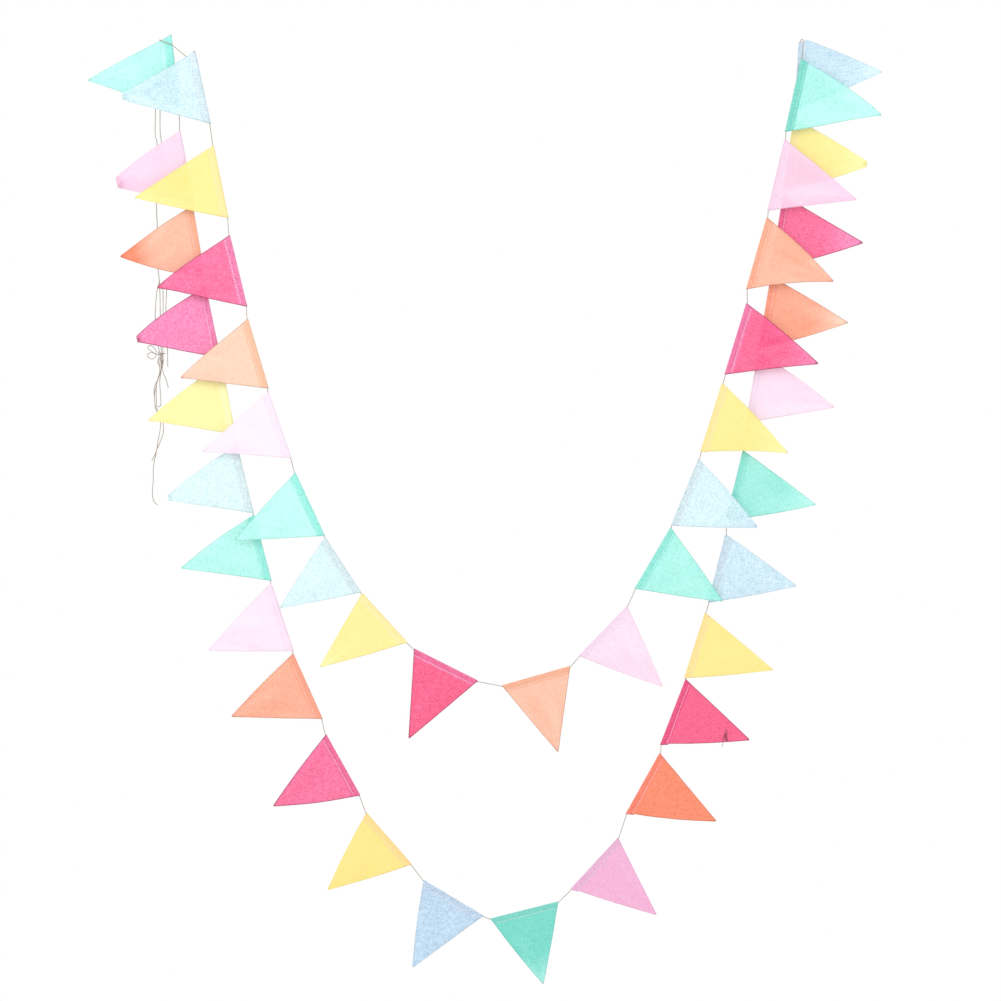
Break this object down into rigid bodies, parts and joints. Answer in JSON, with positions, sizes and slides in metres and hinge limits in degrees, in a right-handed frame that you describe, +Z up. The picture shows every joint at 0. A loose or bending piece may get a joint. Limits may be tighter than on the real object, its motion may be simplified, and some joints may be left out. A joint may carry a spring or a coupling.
{
  "type": "fabric bunting",
  "caption": "String of triangular cloth pennants hemmed onto a jute twine, hung in two nested swags from a left and a right point with the loose twine ends tied at the left.",
  "frame": {"origin": "the left hanging point, at the knot of the twine", "axes": "+Z up, +X to the right along the wall towards the right hanging point, +Y into the wall"},
  "size_m": [1.5405, 0.0424, 1.8895],
  "materials": {
    "cloth_mint": "matte",
    "cloth_lavender": "matte",
    "cloth_peach": "matte",
    "cloth_pink": "matte",
    "cloth_yellow": "matte",
    "cloth_blue": "matte",
    "jute": "matte"
  },
  "bodies": {
    "root": {"outer_01_mint": "cloth_mint", "outer_02_lavender": "cloth_lavender", "outer_03_peach": "cloth_peach", "outer_04_pink": "cloth_pink", "outer_05_yellow": "cloth_yellow", "outer_06_blue": "cloth_blue", "outer_07_mint": "cloth_mint", "outer_08_lavender": "cloth_lavender", "outer_09_peach": "cloth_peach", "outer_10_pink": "cloth_pink", "outer_11_yellow": "cloth_yellow", "outer_12_blue": "cloth_blue", "outer_13_mint": "cloth_mint", "outer_14_lavender": "cloth_lavender", "outer_15_peach": "cloth_peach", "outer_16_pink": "cloth_pink", "outer_17_yellow": "cloth_yellow", "outer_18_blue": "cloth_blue", "outer_19_mint": "cloth_mint", "outer_20_lavender": "cloth_lavender", "outer_21_peach": "cloth_peach", "outer_22_pink": "cloth_pink", "outer_23_yellow": "cloth_yellow", "outer_24_blue": "cloth_blue", "inner_01_blue": "cloth_blue", "inner_02_yellow": "cloth_yellow", "inner_03_pink": "cloth_pink", "inner_04_peach": "cloth_peach", "inner_05_lavender": "cloth_lavender", "inner_06_mint": "cloth_mint", "inner_07_blue": "cloth_blue", "inner_08_yellow": "cloth_yellow", "inner_09_pink": "cloth_pink", "inner_10_peach": "cloth_peach", "inner_11_lavender": "cloth_lavender", "inner_12_mint": "cloth_mint", "inner_13_blue": "cloth_blue", "inner_14_yellow": "cloth_yellow", "inner_15_pink": "cloth_pink", "inner_16_peach": "cloth_peach", "inner_17_lavender": "cloth_lavender", "inner_18_mint": "cloth_mint", "twine": "jute", "tail_long": "jute", "tail_looped": "jute", "tie_long": "jute", "tie_short": "jute"}
  },
  "joints": []
}
